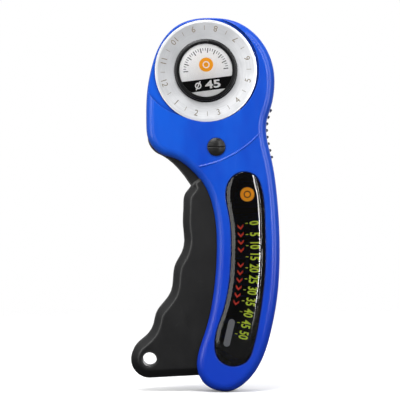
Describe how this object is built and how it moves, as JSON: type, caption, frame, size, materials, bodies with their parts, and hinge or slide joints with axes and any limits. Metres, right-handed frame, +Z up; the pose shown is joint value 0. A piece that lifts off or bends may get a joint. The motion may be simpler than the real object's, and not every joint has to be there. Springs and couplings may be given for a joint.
{
  "type": "rotary paper trimmer",
  "caption": "Hand-held rotary trimmer with a round blade, a squeeze trigger that swings the blade out, a push lock and a curved handle.",
  "frame": {"origin": "middle of the bounding box in plan, at the level of the foot of the handle", "axes": "+Z up along the tool from the foot to the blade, +Y towards the back with the nut, so the blade faces -Y, +X to the right as seen from the front, which is the spine side of the handle"},
  "size_m": [0.066, 0.0224, 0.1655],
  "materials": {
    "shell_blue": "moulded ABS, satin gloss, bright blue",
    "lever_black": "moulded nylon, fine matt texture, near black",
    "cap_black": "moulded, glossy black",
    "knob_black": "moulded, satin black",
    "lock_black": "moulded, satin black",
    "rest_rubber": "soft dark rubber, matt",
    "blade_steel": "fine ground, ground bevels brighter",
    "fastener_steel": "zinc plated, satin",
    "spring_steel": "drawn wire, bright",
    "insert_brass": "machined, bright",
    "cap_print": "printed film, silvery white and black",
    "handle_print": "printed film, black with coloured marks",
    "clear_resin": "domed clear resin, high gloss"
  },
  "bodies": {
    "housing": {"front_shell": "shell_blue", "back_shell": "shell_blue", "index_rest": "rest_rubber", "shell_screws": "fastener_steel", "handle_label": "handle_print", "label_dome": "clear_resin", "pivot_pin": "fastener_steel", "return_spring": "spring_steel"},
    "trigger": {"trigger_lever": "lever_black", "blade_bolt": "fastener_steel", "bolt_cap": "cap_black", "cap_label": "cap_print", "cap_dome": "clear_resin", "flat_washer": "fastener_steel", "wave_washer": "spring_steel", "nut_insert": "insert_brass", "nut_knob": "knob_black"},
    "blade_disc": {"blade": "blade_steel"},
    "lock": {"lock_button": "lock_black", "lock_button_rear": "lock_black"}
  },
  "joints": [
    {"name": "trigger_squeeze", "type": "hinge", "parent": "housing", "child": "trigger", "pos_m": [-0.01732, 0.0017, 0.1129], "axis": [0, -1, 0], "range_deg": [0, 11.5], "stiffness_Nm_per_rad": 1, "deforming": ["return_spring"]},
    {"name": "blade_spin", "type": "hinge", "parent": "trigger", "child": "blade_disc", "pos_m": [0.00018, -0.00705, 0.1419], "axis": [0, -1, 0], "continuous": true},
    {"name": "lock_slide", "type": "slide", "parent": "housing", "child": "lock", "axis": [0, 1, 0], "range_m": [0, 0.0025]}
  ]
}
